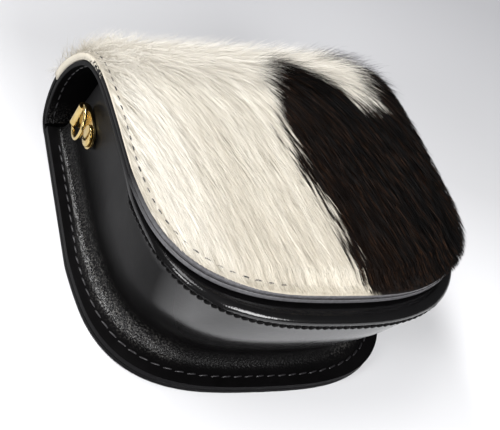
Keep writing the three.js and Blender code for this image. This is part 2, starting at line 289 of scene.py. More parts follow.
lamps = {  # metres and watts
    "overheadLamp": {"place": (-0.4, 0.0, 0.85), "size": 0.34, "power": 2.75, "aim": (-0.1, -0.08, 0)},
    "frontLamp": {"place": (0.05, -0.75, 0.6), "size": 0.5, "power": 12.5, "aim": (0.45, -0.42, 0)},
    "leftLamp": {"place": (-0.8, -0.3, 0.5), "size": 0.25, "power": 3.6, "aim": (-0.06, 0.03, 0.08)},
    "backLamp": {"place": (-0.32, 0.46, 0.74), "size": 0.2, "power": 8.2, "aim": (-0.03, 0.06, 0.06)},
}
for name, lamp in lamps.items():
    bpy.ops.object.light_add(type="AREA", location=lamp["place"])
    light = bpy.context.object
    light.name = name
    light.rotation_mode = "QUATERNION"
    light.rotation_quaternion = (Vector(lamp["aim"]) - Vector(lamp["place"])).to_track_quat("-Z", "Y")
    light.data.size = lamp["size"]
    light.data.energy = lamp["power"]
skyLight = {"colour": "#e6e8ec", "strength": 0.12}
studio = bpy.data.worlds.new("studio")
bpy.context.scene.world = studio
studio.use_nodes = True
sky = studio.node_tree.nodes["Background"].inputs
sky["Color"].default_value = linear(skyLight["colour"])
sky["Strength"].default_value = skyLight["strength"]
bpy.context.scene.view_settings.view_transform = "Standard"  # whites stay white, as in the photo
print("camera, floor and light are set")


# Materials

# Black calf: glossy, with pores of about 0.75 mm and an uneven polish. Where it was stretched on the fillet,
# the grain is coarser, and pale specks are painted there as glints of light. Sizes and places are in
# millimetres.
calfLook = {
    "dark": "#050505", "pale": "#0e0d0e", "specks": "#605e5b", "paintedGlintBand": (0.5, 0.68), "upperPaintedGlints": 0.4,
    "pores": 0.75, "stretched": 0.9, "creases": 9, "polish": 22, "rough": (0.3, 0.5),
    "filletSpan": 20, "filletEnds": (5.2, 17), "filletFull": (5.8, 9), "filletGloss": 0.6,
    "wallRise": (15, 26), "wallFootGloss": 0.12, "bottomToSide": (-65, -50), "sideGloss": 0.02,
    "rimRise": (61, 68), "rimGloss": 0.7, "towardsSide": (34, 58), "bottomFillet": 0.06,
    "towardsCorner": (35, -35), "specular": 0.035, "coatRough": 0.13,
}


def blackCalf():
    look = calfLook
    material = newMaterial("blackCalfLeather")
    where = addNode(material, "ShaderNodeTexCoord").outputs["Object"]
    spot = addNode(material, "ShaderNodeSeparateXYZ", None, {"Vector": where})
    pores = addNode(material, "ShaderNodeTexVoronoi", {"Scale": 1 / (look["pores"] * mm)}, {"Vector": where})
    stretched, creases, polish = [
        addNode(material, "ShaderNodeTexNoise", {"Scale": 1 / (look[name] * mm), "Detail": detail},
                {"Vector": where})
        for name, detail in (("stretched", 2), ("creases", 4), ("polish", 2))]
    rough = addNode(material, "ShaderNodeMapRange", {"To Min": look["rough"][0], "To Max": look["rough"][1]},
                    {"Value": polish.outputs["Fac"]})

    # The coat is glossier at the bottom of the bag, on the crease and rim, and on the fillet at the sides
    rise = addNode(material, "ShaderNodeMapRange", {"From Max": look["filletSpan"] * mm},
                   {"Value": spot.outputs["Z"]})
    stops = [(level / look["filletSpan"], (0, 0, 0, 1)) for level in look["filletEnds"]]
    stops += [(level / look["filletSpan"], (look["filletGloss"],) * 3 + (1,)) for level in look["filletFull"]]
    onFillet = addNode(material, "ShaderNodeValToRGB", {"stops": stops}, {"Fac": rise.outputs["Result"]})
    above = addNode(material, "ShaderNodeMapRange",
                    {"From Min": look["wallRise"][0] * mm, "From Max": look["wallRise"][1] * mm,
                     "To Min": look["wallFootGloss"]}, {"Value": spot.outputs["Z"]})
    rubbed = addNode(material, "ShaderNodeMapRange",
                     {"From Min": look["bottomToSide"][0] * mm, "From Max": look["bottomToSide"][1] * mm,
                      "To Max": look["sideGloss"]},
                     {"Value": spot.outputs["Y"], "To Min": above.outputs["Result"]})
    rolled = addNode(material, "ShaderNodeMapRange",
                     {"From Min": look["rimRise"][0] * mm, "From Max": look["rimRise"][1] * mm,
                      "To Max": look["rimGloss"]}, {"Value": spot.outputs["Z"]})
    aside = addNode(material, "ShaderNodeMath", {"operation": "ABSOLUTE"}, {0: spot.outputs["X"]})
    atSide = addNode(material, "ShaderNodeMapRange",
                     {"From Min": look["towardsSide"][0] * mm, "From Max": look["towardsSide"][1] * mm,
                      "To Min": look["bottomFillet"]}, {"Value": aside.outputs["Value"]})
    pulled = addNode(material, "ShaderNodeMath", {"operation": "MULTIPLY"},
                     {0: onFillet.outputs["Color"], 1: atSide.outputs["Result"]})
    gloss = addNode(material, "ShaderNodeMath", {"operation": "MAXIMUM"},
                    {0: rubbed.outputs["Result"], 1: rolled.outputs["Result"]})
    gloss = addNode(material, "ShaderNodeMath", {"operation": "MAXIMUM"},
                    {0: gloss.outputs["Value"], 1: pulled.outputs["Value"]})

    # The pale specks, a painted highlight, are clearest towards the bottom corners
    corner = addNode(material, "ShaderNodeMapRange",
                     {"From Min": look["towardsCorner"][0] * mm, "From Max": look["towardsCorner"][1] * mm,
                      "To Min": look["upperPaintedGlints"]}, {"Value": spot.outputs["Y"]})
    specks = addNode(material, "ShaderNodeMapRange",
                     {"From Min": look["paintedGlintBand"][0], "From Max": look["paintedGlintBand"][1]},
                     {"Value": stretched.outputs["Fac"], "To Max": corner.outputs["Result"]})
    # Painted highlight: pale specks mixed into the black stand for glints of light on the fillet
    paintedGlintShare = addNode(material, "ShaderNodeMath", {"operation": "MULTIPLY"},
                    {0: pulled.outputs["Value"], 1: specks.outputs["Result"]})
    stops = [(0, linear(look["dark"])), (1, linear(look["pale"]))]
    even = addNode(material, "ShaderNodeValToRGB", {"stops": stops}, {"Fac": creases.outputs["Fac"]})
    tone = addNode(material, "ShaderNodeMix", {"data_type": "RGBA", 7: linear(look["specks"])},
                   {0: paintedGlintShare.outputs["Value"], 6: even.outputs["Color"]})
    wave = addNode(material, "ShaderNodeBump", {"Strength": 0.15, "Distance": 0.7 * mm},
                   {"Height": creases.outputs["Fac"]})
    grain = addNode(material, "ShaderNodeBump", {"Strength": 0.22, "Distance": 0.1 * mm},
                    {"Height": pores.outputs["Distance"], "Normal": wave.outputs["Normal"]})
    pull = addNode(material, "ShaderNodeBump", {"Distance": 0.9 * mm},
                   {"Height": stretched.outputs["Fac"], "Strength": onFillet.outputs["Color"],
                    "Normal": grain.outputs["Normal"]})
    return finishMaterial(material,
                          {"Specular IOR Level": look["specular"], "Coat Roughness": look["coatRough"]},
                          {"Base Color": tone.outputs[2], "Roughness": rough.outputs["Result"],
                           "Coat Weight": gloss.outputs["Value"], "Normal": pull.outputs["Normal"],
                           "Coat Normal": pull.outputs["Normal"]})


# Burnished edge: the cut side of the leather, dull black, rubbed glossy along the hem with a painted grey
# reflection.
# With a crest colour, hair lies over it at the left of the crest, in specks that close to a pale edge.
edgeLook = {
    "side": ("#050506", "#0f0e10"), "hem": ("#3c3b3d", "#6a696c"), "fibres": 1.3,
    "towardsHem": (-12, -45), "raised": (55, 62), "rough": (0.55, 0.25), "hemGloss": 0.5,
    "specular": 0.07, "coatRough": 0.2,
    "towardsCrest": (30, 68), "speckFrom": (0.8, 0.1), "speckSoft": 0.12, "towardsLeft": (10, -10),
}


def burnishedEdge(name, crest=None):
    look = edgeLook
    material = newMaterial(name)
    where = addNode(material, "ShaderNodeTexCoord").outputs["Object"]
    spot = addNode(material, "ShaderNodeSeparateXYZ", None, {"Vector": where})
    fibres = addNode(material, "ShaderNodeTexNoise", {"Scale": 1 / (look["fibres"] * mm), "Detail": 4},
                     {"Vector": where})
    front = addNode(material, "ShaderNodeMapRange",
                    {"From Min": look["towardsHem"][0] * mm, "From Max": look["towardsHem"][1] * mm},
                    {"Value": spot.outputs["Y"]})
    raised = addNode(material, "ShaderNodeMapRange",
                     {"From Min": look["raised"][0] * mm, "From Max": look["raised"][1] * mm},
                     {"Value": spot.outputs["Z"]})
    hem = addNode(material, "ShaderNodeMath", {"operation": "MULTIPLY"},
                  {0: front.outputs["Result"], 1: raised.outputs["Result"]})
    # Painted reflection: along the hem the black edge is painted grey, as the reflection of the bright floor in
    # front
    sideTone, hemPaintedSheenTone = [
        addNode(material, "ShaderNodeValToRGB", {"stops": list(enumerate(map(linear, look[part])))},
                {"Fac": fibres.outputs["Fac"]}) for part in ("side", "hem")]
    tone = addNode(material, "ShaderNodeMix", {"data_type": "RGBA"},
                   {0: hem.outputs["Value"], 6: sideTone.outputs["Color"], 7: hemPaintedSheenTone.outputs["Color"]})
    if crest:
        low = addNode(material, "ShaderNodeMapRange",
                      {"From Min": look["towardsCrest"][0] * mm, "From Max": look["towardsCrest"][1] * mm,
                       "To Min": look["speckFrom"][0], "To Max": look["speckFrom"][1]},
                      {"Value": spot.outputs["Y"]})
        high = addNode(material, "ShaderNodeMath", {1: look["speckSoft"]}, {0: low.outputs["Result"]})
        onLeft = addNode(material, "ShaderNodeMapRange",
                         {"From Min": look["towardsLeft"][0] * mm, "From Max": look["towardsLeft"][1] * mm},
                         {"Value": spot.outputs["X"]})  # the hair at the right end is black
        over = addNode(material, "ShaderNodeMapRange", None,
                       {"Value": fibres.outputs["Fac"], "From Min": low.outputs["Result"],
                        "From Max": high.outputs["Value"], "To Max": onLeft.outputs["Result"]})
        tone = addNode(material, "ShaderNodeMix", {"data_type": "RGBA", 7: linear(crest)},
                       {0: over.outputs["Result"], 6: tone.outputs[2]})
    rough = addNode(material, "ShaderNodeMapRange", {"To Min": look["rough"][0], "To Max": look["rough"][1]},
                    {"Value": hem.outputs["Value"]})
    gloss = addNode(material, "ShaderNodeMath", {"operation": "MULTIPLY", 1: look["hemGloss"]},
                    {0: hem.outputs["Value"]})
    bump = addNode(material, "ShaderNodeBump", {"Strength": 0.4, "Distance": 0.2 * mm},
                   {"Height": fibres.outputs["Fac"]})
    return finishMaterial(material,
                          {"Specular IOR Level": look["specular"], "Coat Roughness": look["coatRough"]},
                          {"Base Color": tone.outputs[2], "Roughness": rough.outputs["Result"],
                           "Coat Weight": gloss.outputs["Value"], "Normal": bump.outputs["Normal"]})


# Waxed thread: black, with a painted grey glint on each stitch; in the crease duller and painted darker as
# shade
threadLook = {"twist": 0.5, "rough": 0.38}


def waxedThread(name, dark, pale, shine):
    material = newMaterial(name)
    where = addNode(material, "ShaderNodeTexCoord").outputs["Object"]
    twist = addNode(material, "ShaderNodeTexNoise", {"Scale": 1 / (threadLook["twist"] * mm), "Detail": 2},
                    {"Vector": where})
    # Painted glint: grey is mixed into the black thread along its twist
    tone = addNode(material, "ShaderNodeValToRGB", {"stops": [(0, linear(dark)), (1, linear(pale))]},
                   {"Fac": twist.outputs["Fac"]})
    bump = addNode(material, "ShaderNodeBump", {"Strength": 0.5, "Distance": 0.1 * mm},
                   {"Height": twist.outputs["Fac"]})
    return finishMaterial(material, {"Roughness": threadLook["rough"], "Specular IOR Level": shine},
                          {"Base Color": tone.outputs["Color"], "Normal": bump.outputs["Normal"]})


# Polished brass: pale gold mirror with faint handling marks and a warmer tarnish in patches
brassLook = {"tones": ("#a98a4c", "#e0cc94"), "patches": 4, "rough": (0.1, 0.3)}


def polishedBrass():
    material = newMaterial("polishedBrass")
    where = addNode(material, "ShaderNodeTexCoord").outputs["Object"]
    patches = addNode(material, "ShaderNodeTexNoise", {"Scale": 1 / (brassLook["patches"] * mm), "Detail": 3},
                      {"Vector": where})
    tone = addNode(material, "ShaderNodeValToRGB", {"stops": list(enumerate(map(linear, brassLook["tones"])))},
                   {"Fac": patches.outputs["Fac"]})
    rough = addNode(material, "ShaderNodeMapRange",
                    {"To Min": brassLook["rough"][0], "To Max": brassLook["rough"][1]},
                    {"Value": patches.outputs["Fac"]})
    return finishMaterial(material, {"Metallic": 1.0}, {"Base Color": tone.outputs["Color"],
                                                        "Roughness": rough.outputs["Result"]})


# Cow hair: colour of each strand from its own tint, soft satin gloss along it
def cowHair():
    material = newMaterial("cowHair")
    tint = addNode(material, "ShaderNodeAttribute", {"attribute_name": "tint"})
    return finishMaterial(material, {"Roughness": 0.5, "Specular IOR Level": 0.05},
                          {"Base Color": tint.outputs["Color"]})


# Undercoat: short dense hair under the strands, mottled along the comb in the same tints
underLook = {"strand": (0.6, 6, 6), "shade": (0.82, 1.0)}


def undercoat():
    material = newMaterial("cowUndercoat")
    where = addNode(material, "ShaderNodeTexCoord").outputs["Object"]
    stretch = addNode(material, "ShaderNodeMapping",
                      {"Scale": [1 / (size * mm) for size in underLook["strand"]]}, {"Vector": where})
    strands = addNode(material, "ShaderNodeTexNoise", {"Scale": 1.0, "Detail": 4},
                      {"Vector": stretch.outputs["Vector"]})
    tint = addNode(material, "ShaderNodeAttribute", {"attribute_name": "tint"})
    shade = addNode(material, "ShaderNodeMapRange",
                    {"To Min": underLook["shade"][0], "To Max": underLook["shade"][1]},
                    {"Value": strands.outputs["Fac"]})
    tone = addNode(material, "ShaderNodeMix", {"data_type": "RGBA", "blend_type": "MULTIPLY", 0: 1.0},
                   {6: tint.outputs["Color"], 7: shade.outputs["Result"]})
    bump = addNode(material, "ShaderNodeBump", {"Strength": 0.6, "Distance": 0.5 * mm},
                   {"Height": strands.outputs["Fac"]})
    return finishMaterial(material, {"Roughness": 0.75, "Specular IOR Level": 0.2},
                          {"Base Color": tone.outputs[2], "Normal": bump.outputs["Normal"]})


calf, brass, hairCoat, underHair = blackCalf(), polishedBrass(), cowHair(), undercoat()
edge = burnishedEdge("burnishedLeatherEdge")
hideEdge = burnishedEdge("cutHideEdge", crest="#cbc4b5")
thread = waxedThread("waxedThread", "#0e0d0e", "#2b292c", shine=0.5)
# Painted shade: the crease's stitches get a near-black thread, as the crease shades them
shadedSunkThread = waxedThread("shadedSunkWaxedThread", "#030303", "#0a090a", shine=0.06)
print("materials are made")


# Leather shell

# Gives the cut edges of a sheet the burnished material, by a test on each face's middle and normal
def markEdges(piece, surface, test, trim=edge):
    piece.data.materials.append(surface)
    piece.data.materials.append(trim)
    for face in piece.data.polygons:
        face.material_index = 1 if test(face.center / mm, face.normal) else 0


# The soft wall swells between the fillet and the crease, most at the bottom of the bag
wall = {"swell": 3.2, "foot": 13, "crease": 67.4, "slope": 0.124, "fullBelow": 35, "noneAbove": 85,
        "round": (70, 80)}


def swellWall(piece):
    for vertex in piece.data.vertices:
        spot = vertex.co / mm
        fall = wall["slope"] * (spot.y - foot - creaseLine["bottom"])  # the crease is lower further up the bag
        share = (spot.z - wall["foot"]) / (wall["crease"] - wall["foot"] - fall)
        up = (spot.y - foot - wall["fullBelow"]) / (wall["noneAbove"] - wall["fullBelow"])
        push = wall["swell"] * math.sin(math.pi * min(max(share, 0), 1)) * (1 - min(max(up, 0), 1))
        outward = Vector((spot.x / wall["round"][0], spot.y / wall["round"][1], 0)).normalized()
        vertex.co += outward * push * mm


sheetEdge = {"bevel": 0.5, "segments": 2, "sharp": 50, "levels": 2}
leatherPieces = {  # the test finds a sheet's cut edge by the middle and normal of a face
    "backLeather": {"node": "back_panel", "edge": lambda c, n: abs(n.x) > 0.6 or (c.y < 20 and abs(n.z) < 0.4)},
    "gussetLeather": {"node": "gusset", "edge": lambda c, n: c.z < flangeTop and abs(n.z) < 0.25 and
                      (abs(c.x) > 66 or c.y < foot + 1 or math.hypot(c.x, c.y) > 74)},
    "frontLeather": {"node": "front_panel", "edge": lambda c, n: False},
    "liningLeather": {"node": "flap_lining", "edge": lambda c, n: abs(n.x) > 0.5 or (c.y < 0 and n.y < -0.6)},
}
for name, sheet in leatherPieces.items():
    piece = copyNode(sheet["node"], name)
    markEdges(piece, calf, sheet["edge"])
    if name == "gussetLeather":
        swellWall(piece)
    roundOff(piece, sheetEdge)
    subdivide(piece, sheetEdge["levels"])
    place(piece, "bag", "black_leather", sheet["node"])
print("leather shell is sewn")


# Brass hardware

brassEdge = {"bevel": 0.22, "segments": 2, "sharp": 40, "levels": 2}
brassPieces = {"Clip": "bag", "Rivet": "bag", "Ring": "strap_ring"}
for side in ("left", "right"):
    for kind, body in brassPieces.items():
        node = f"{side}_{kind.lower()}"
        piece = copyNode(node, f"{side}Brass{kind}")
        piece.data.materials.append(brass)
        if kind != "Ring":
            roundOff(piece, brassEdge)
        subdivide(piece, brassEdge["levels"])
        place(piece, body if body == "bag" else f"{side}_{body}", "brass", node)
print("brass is polished")


# Stitches

# One rounded stitch for each point: along its heading, standing on the normal, its ends sunk in the leather
def stitches(name, points, heading, normal, size, surface=thread):
    sections = np.array([-0.5, -0.42, -0.2, 0.2, 0.42, 0.5])
    swell = np.array([0.35, 0.8, 1.0, 1.0, 0.8, 0.35])
    sink = np.array([-0.9, -0.45, 0.0, 0.0, -0.45, -0.9])
    sides = 8
    angle = np.arange(sides) * 2 * math.pi / sides
    along = np.repeat(sections, sides) * size["length"]
    across = (swell[:, None] * np.cos(angle)).ravel() * size["width"] / 2
    up = (swell[:, None] * np.sin(angle) + sink[:, None]).ravel() * size["height"] / 2
    sideways = np.cross(normal, heading)
    turn = math.radians(size["slant"])
    direct = heading * math.cos(turn) + sideways * math.sin(turn)
    aside = np.cross(normal, direct)
    verts = (points[:, None] + along[:, None] * direct[:, None] + across[:, None] * aside[:, None]
             + up[:, None] * normal[:, None])
    ringA = np.arange(sides)
    ringB = (ringA + 1) % sides
    tube = [np.column_stack((ringA, ringB, ringB + sides, ringA + sides)) + sides * i
            for i in range(len(sections) - 1)]
    cap = np.array([(0, 1, 2, 3), (0, 3, 4, 7), (4, 5, 6, 7)])
    faces = np.vstack(tube + [cap[:, ::-1], cap + sides * (len(sections) - 1)])
    count = len(along)
    faces = (faces[None] + (np.arange(len(points)) * count)[:, None, None]).reshape(-1, 4)
    place(meshFrom(name, verts.reshape(-1, 3), faces, surface), "bag", "black_leather")


# A row of points along a level outline, with their headings
def levelRow(line, pitch):
    points, heading = spaced(outline(line), pitch)
    return points, np.column_stack((heading, np.zeros(len(heading))))


# A row inside the flap's outline, bent round its curve: points, headings and normals
def bentRow(line, row):
    points, heading = spaced(outline(inset(line, row["inset"])), row["pitch"])
    behind, middle, ahead = [
        wrapped(points[:, 0] + step * heading[:, 0], points[:, 1] + step * heading[:, 1], row["lift"])
        for step in (-0.5, 0, 0.5)]
    return middle[0], ahead[0] - behind[0], middle[1]


flangeSeam = {"pitch": 5.5, "length": 4.5, "width": 0.85, "height": 0.7, "slant": 7, "inward": 0.66, "top": 128,
              "lift": 0.1}
line = {**between(backLine, footLine, flangeSeam["inward"]), "top": flangeSeam["top"]}
points, heading = levelRow(line, flangeSeam["pitch"])
up = np.tile((0.0, 0.0, 1.0), (len(points), 1))
level = np.full(len(points), flangeTop + flangeSeam["lift"])
points = np.column_stack((points[:, 0], points[:, 1] + foot, level))
stitches("flangeStitches", points, heading, up, flangeSeam)

creaseSeam = {"pitch": 3.3, "length": 3.6, "width": 1.7, "height": 1.5, "slant": 24, "start": 67.6, "out": 0.5,
              "upSide": 40, "arch": 3}
line = inset(creaseLine, -creaseSeam["out"])
line["top"] = creaseLine["bottom"] + creaseLine["corner"] + creaseSeam["upSide"]
points, heading = levelRow(line, creaseSeam["pitch"])
share = (points[:, 1] - line["bottom"]) / (line["top"] - line["bottom"])
fall = wall["slope"] * (points[:, 1] - creaseLine["bottom"])
level = creaseSeam["start"] + (creaseSeam["arch"] * np.sin(math.pi * share) - fall)
outward = np.column_stack((heading[:, 1], -heading[:, 0], heading[:, 2]))
points = np.column_stack((points[:, 0], points[:, 1] + foot, level))
stitches("creaseStitches", points, heading, outward, creaseSeam, shadedSunkThread)

hideSeam = {"pitch": 5.5, "length": 2.9, "width": 0.6, "height": 0.6, "slant": 4, "inset": 3.4, "lift": 1.1}
points, heading, normal = bentRow(hideLine, hideSeam)
stitches("hideStitches", points, heading, normal, hideSeam)

liningSeam = {"pitch": 5.5, "length": 4.3, "width": 0.8, "height": 0.6, "slant": -5, "inset": 3.6,
              "lift": -5.15}
points, heading, normal = bentRow(flapLine(flap["liningEnd"]), liningSeam)
stitches("liningStitches", points, heading, -normal, liningSeam)
print("seams are stitched")


# Cowhide

# Where the dark patches lie on the hide laid flat: distance from the hem, then x, in millimetres
patch = {
    "left": [(0, 13), (16, 10), (32, 9.5), (45, 7), (56, 4), (68, 1.5), (86, 3), (99, 4), (108, 5), (120, 8),
             (128, 14), (136, 23)],
    "wedgeLeft": [(103, 51), (108, 46), (113, 42), (119, 37), (125, 32), (130, 27), (136, 23)],
    "wedgeRight": [(103, 51), (110, 55), (116, 57.5), (125, 60), (134, 57), (145, 50), (160, 46), (180, 44)],
    "wedgeTip": 103, "top": 136, "ragged": 0.7, "lockShift": 0.9, "tuftShift": 2.0,
}
# Hair tints; the crest tint is the white with painted light, brighter than the hair's own white
tints = {
    "white": "#e4e0d6", "cream": "#d8d0c1", "crest": "#fffbf3", "border": "#b9b09f",
    "brown": "#110a07", "black": "#040303", "fawn": "#5a3d29",
}
tinting = {  # shares of a tint, and the places in mm where they start and are full
    "creamShare": 0.35, "towardsHem": (90, 20), "crestPaintedLight": 0.9, "towardsCrest": (100, 140),
    "leftPaintedLight": 0.5, "towardsLeft": (-38, -63), "border": (5.5, 3), "borderShare": (0.35, 0.6),
    "brownUpTo": (8, 60), "blackWithin": (45, 160), "uneven": 0.35,
}


def edgeAt(name, distance):
    rows = np.array(patch[name], float)
    return np.interp(distance, rows[:, 0], rows[:, 1])


# Which points of the flat hide are dark
def darkness(x, distance):
    below = distance < patch["top"]
    inPatch = below & (x > edgeAt("left", distance))
    inWedge = (distance > patch["wedgeTip"]) & (x > edgeAt("wedgeLeft", distance))
    inWedge &= x < edgeAt("wedgeRight", distance)
    return (inPatch & ~inWedge) | (~below & (x > edgeAt("wedgeRight", distance)))


# Distance of points of the flat hide from its edge
def fromEdge(x, distance):
    rim = outline(hideLine, 60)
    nearest = np.full(len(x), 1e9)
    for point in rim:
        nearest = np.minimum(nearest, np.hypot(x - point[0], distance - point[1]))
    return nearest


# Height of the pile over the leather
def pileLift(distance, margin):
    nearCrest = np.clip(1 - (hideLine["top"] - distance) / pile["crestWidth"], 0, None)
    deep = pile["deep"] + pile["crest"] * np.sin(nearCrest * math.pi / 2)
    share = np.clip((margin - pile["edgeWidth"]) / pile["slope"], 0, 1)
    lift = pile["edge"] + (deep - pile["edge"]) * share
    toBack = np.clip((hideLine["top"] - distance) / pile["backTaper"], 0, 1)  # level with the back panel
    return pile["backLift"] + (lift - pile["backLift"]) * toBack


# Tint of hair by its place: creamy white, or brown turning black towards the right
def tintAt(x, distance, spread):
    pick = {name: np.array(linear(colour)[:3]) for name, colour in tints.items()}
    dark = darkness(x, distance)[:, None]
    # The white gets creamier towards the hem
    creamTowardsHem = tinting["creamShare"] * ramp(distance, *tinting["towardsHem"])
    # Painted light: the hair is painted whiter towards the crest and towards the left side
    paintedLight = np.maximum(tinting["crestPaintedLight"] * ramp(distance, *tinting["towardsCrest"]),
                       tinting["leftPaintedLight"] * ramp(x, *tinting["towardsLeft"]))
    light = pick["white"] + (pick["cream"] - pick["white"]) * np.clip(spread + creamTowardsHem, 0, 1)[:, None]
    light += (pick["crest"] - light) * paintedLight[:, None]
    least, more = tinting["borderShare"]
    border = ramp(fromEdge(x, distance), *tinting["border"]) * np.clip(least + spread * more, 0, 1)
    light += (pick["border"] - light) * border[:, None]  # the hair is darker and beiger near the sewn edge
    (startX, startD), (withinX, withinD) = tinting["brownUpTo"], tinting["blackWithin"]
    toBlack = (x - startX) / withinX + (distance - startD) / withinD + spread * tinting["uneven"]
    toBlack = np.clip(toBlack, 0, 1)[:, None]
    deep = pick["brown"] + (pick["black"] - pick["brown"]) * toBlack
    return np.where(dark, deep, light)


def paintTint(piece, colours):
    layer = piece.data.color_attributes.new("tint", "FLOAT_COLOR", "POINT")
    opaque = np.column_stack((colours, np.ones(len(colours))))
    layer.data.foreach_set("color", opaque.astype(np.float32).ravel())


coatShape = {"under": 0.5, "least": 0.15, "sharp": 55, "levels": 1, "spread": 0.7}
coat = copyNode("flap_hide", "hideUndercoat")
markEdges(coat, underHair, lambda c, n: abs(n.x) > 0.6 or (c.y < 0 and abs(n.z) < 0.6), hideEdge)


# Place of row-frame points on the flat hide: x, distance from the hem, and height over the leather
def unwrapped(spots):
    gap = (spots[:, 1:2] - foot - foldPath[None, :, 0]) ** 2 + (spots[:, 2:3] - foldPath[None, :, 1]) ** 2
    nearest = np.argmin(gap, axis=1)
    offset = np.column_stack((spots[:, 1] - foot, spots[:, 2])) - foldPath[nearest]
    lift = -offset[:, 0] * foldHeading[nearest, 1] + offset[:, 1] * foldHeading[nearest, 0]
    return spots[:, 0], foldAlong[nearest], lift


def spotsOf(piece):
    spots = np.empty(len(piece.data.vertices) * 3, np.float32)
    piece.data.vertices.foreach_get("co", spots)
    return spots.reshape(-1, 3).astype(float) / mm


# The solid's locks are pressed down, because the strands make them again
spots = spotsOf(coat)
flatX, flatD, lift = unwrapped(spots)
ceiling = pileLift(flatD, fromEdge(flatX, flatD)) - coatShape["under"]
ceiling = np.maximum(ceiling, coatShape["least"])
high = lift > ceiling
spots[high] = wrapped(flatX[high], flatD[high], ceiling[high])[0]
coat.data.vertices.foreach_set("co", (spots * mm).astype(np.float32).ravel())
activate(coat)
bpy.ops.object.mode_set(mode="EDIT")
bpy.ops.mesh.select_mode(type="EDGE")
bpy.ops.mesh.select_all(action="DESELECT")
bpy.ops.mesh.edges_select_sharp(sharpness=math.radians(coatShape["sharp"]))
bpy.ops.transform.edge_crease(value=1)  # the cut edge stays square
bpy.ops.object.mode_set(mode="OBJECT")
subdivide(coat, coatShape["levels"])
flatX, flatD, lift = unwrapped(spotsOf(coat))
paintTint(coat, tintAt(flatX, flatD, np.full(len(flatX), coatShape["spread"])))
place(coat, "bag", "cowhide", "flap_hide")

hair = {  # lengths in mm, rise in degrees and roll in radians
    "count": 148000, "quickCount": 37000, "pieces": 4, "length": (13, 20), "width": (0.1, 0.19), "root": 0.6,
    "rise": (2.5, 6), "riseLimits": (1, 70), "shortest": 1.5, "fullFrom": 6, "leastShare": 0.45, "sway": 0.025,
    "roll": 0.9, "bow": 0.35, "taper": (1, 0.95, 0.65), "stops": (0, 0.34, 0.68, 1.0),
    "strayShare": 0.015, "strayRise": (4, 14),
    "locks": 800, "lockRatio": 55, "clump": 0.28, "lockSway": 0.012, "lockTurn": 3, "lockRise": 0.8,
    "tuft": (1.4, 10), "tuftClump": 0.5, "tuftReach": (0.25, 0.75),
    "band": 3.6, "bandSpan": (-100, 400), "bandWave": (3, 23), "ridge": 0.5, "ridgeFrom": (5, 15),
}
fluffy = {  # the loose hair of the crest
    "from": 116, "share": 0.34, "length": (11, 18), "rise": (8, 58), "lowest": 1.8, "width": 0.7,
    "leftEnd": -40, "leanLeft": -0.9, "lean": 0.3, "leanMost": 1.2,
    "fringe": 5, "fringeShare": 0.7, "fringeAhead": 0.8,
}
trimming = {  # how far strands pass the edge, and where they lie over the stitches
    "overhang": (0.3, 2.5), "uneven": 0.6, "looseX": 30, "looseD": 100, "cuts": 8, "cut": 0.8, "cover": 0.9,
    "hemD": (20, 8), "hemX": (-45, -15), "rightX": (30, 45), "nearRim": (18, 10),
    "rootFrom": 8, "rootLeast": 0.15,
}
shading = {  # shares by which strands differ in tint
    "seenJitter": 0.12, "seenLock": 0.2, "spread": (0.5, 0.3, 0.4), "lockShade": 0.14, "bandShade": 0.1,
    "fawnShare": 0.07, "fawnMix": (0.4, 0.4), "fromRoot": (0.72, 0.72, 0.9, 0.9, 1.0, 1.0, 1.03),
    "crestLess": 0.8, "towardsCrest": (100, 130),
}

# Roots spread evenly over the flat hide
reach = hideLine["half"]
rootInset, spareTries = 0.4, 1.3
tries = int(hair["count"] * spareTries)
rootX = dice.uniform(-reach, reach, tries)
rootD = dice.uniform(0, hideLine["top"], tries)
rim = outline(hideLine, 200)
rightRim = rim[len(rim) // 2:]
halfHere = np.interp(rootD, rightRim[:, 1], rightRim[:, 0])
inside = np.flatnonzero(np.abs(rootX) < halfHere - rootInset)[:hair["count"]]
rootX, rootD = rootX[inside], rootD[inside]
count = len(rootX)
margin = fromEdge(rootX, rootD)

# The hair runs towards the hem, a little to the right on the front and mostly sideways along the crest
combChart = np.array([(0, 0.07), (60, 0.12), (100, 0.26), (116, 0.5), (130, 1.1), (145, 1.8), (180, 1.5)])
chartStep = 0.5
chartD = np.arange(0, combChart[-1, 0], chartStep)
drift = np.cumsum(np.interp(chartD, *combChart.T)) * chartStep  # keeps x + drift the same along a combed line


def combLine(x, distance):
    return x + np.interp(distance, chartD, drift)


# Each strand belongs to a long narrow lock, towards which its tip leans
lockX = dice.uniform(-reach, reach, hair["locks"])
lockD = dice.uniform(0, hideLine["top"], hair["locks"])
lockTree = KDTree(hair["locks"])
for number, (line, distance) in enumerate(zip(combLine(lockX, lockD), lockD)):
    lockTree.insert((line, distance / hair["lockRatio"], 0), number)
lockTree.balance()
rootLine = combLine(rootX, rootD)
owner = np.array([lockTree.find((line, distance / hair["lockRatio"], 0))[1]
                  for line, distance in zip(rootLine, rootD)])
toLock = combLine(lockX, lockD)[owner] - rootLine
lockSway = dice.normal(0, hair["lockSway"], hair["locks"])[owner]
lockRise = dice.normal(0, hair["lockRise"], hair["locks"])[owner]
lockTone = dice.uniform(0, 1, hair["locks"])[owner]
bandLine = np.arange(*hair["bandSpan"], hair["band"])
waveHeight, waveLength = hair["bandWave"]
wavyLine = rootLine + waveHeight * np.sin(rootD / waveLength)
band = np.interp(wavyLine, bandLine, dice.uniform(0, 1, len(bandLine)))  # broad combed bands
lockShift = dice.normal(0, patch["lockShift"], hair["locks"])[owner]

